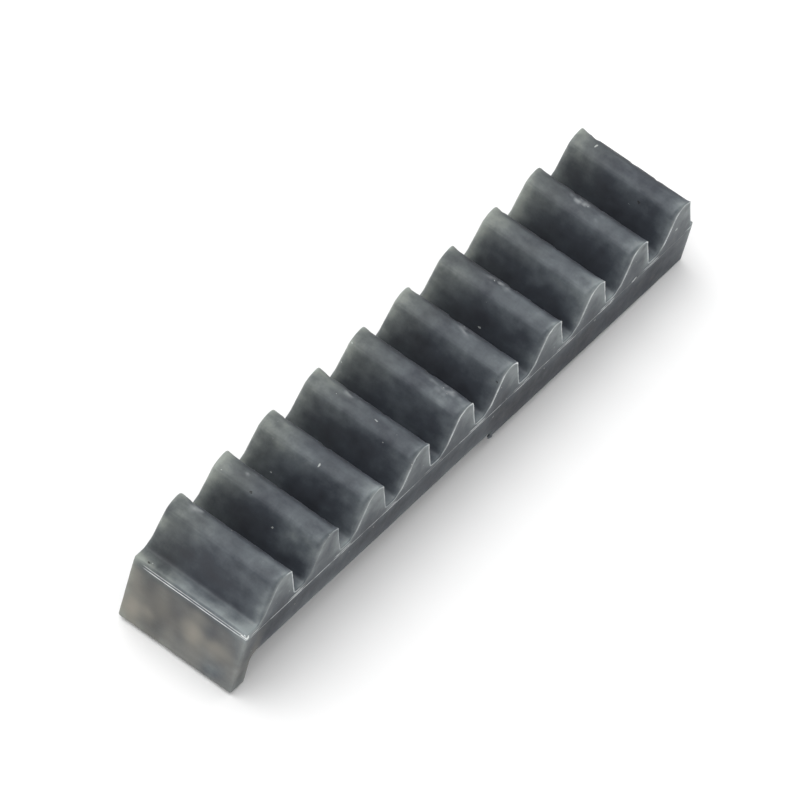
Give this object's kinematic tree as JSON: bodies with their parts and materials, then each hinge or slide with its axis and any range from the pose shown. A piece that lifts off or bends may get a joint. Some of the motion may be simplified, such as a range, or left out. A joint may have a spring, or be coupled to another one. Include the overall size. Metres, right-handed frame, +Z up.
{
  "type": "gear rack",
  "caption": "Straight moulded gear rack with rounded cross teeth on a stepped base, and a hook lip hanging from one end.",
  "frame": {"origin": "centre of the seat, the flat thicker half of the underside", "axes": "+X along the rack, from the lip to the plain end; +Y across the teeth; +Z up, the way the teeth point"},
  "size_m": [0.0634, 0.0116, 0.0118],
  "materials": {
    "rack_plastic": "waxy, slightly translucent, as moulded"
  },
  "bodies": {
    "root": {"rack": "rack_plastic"}
  },
  "joints": []
}
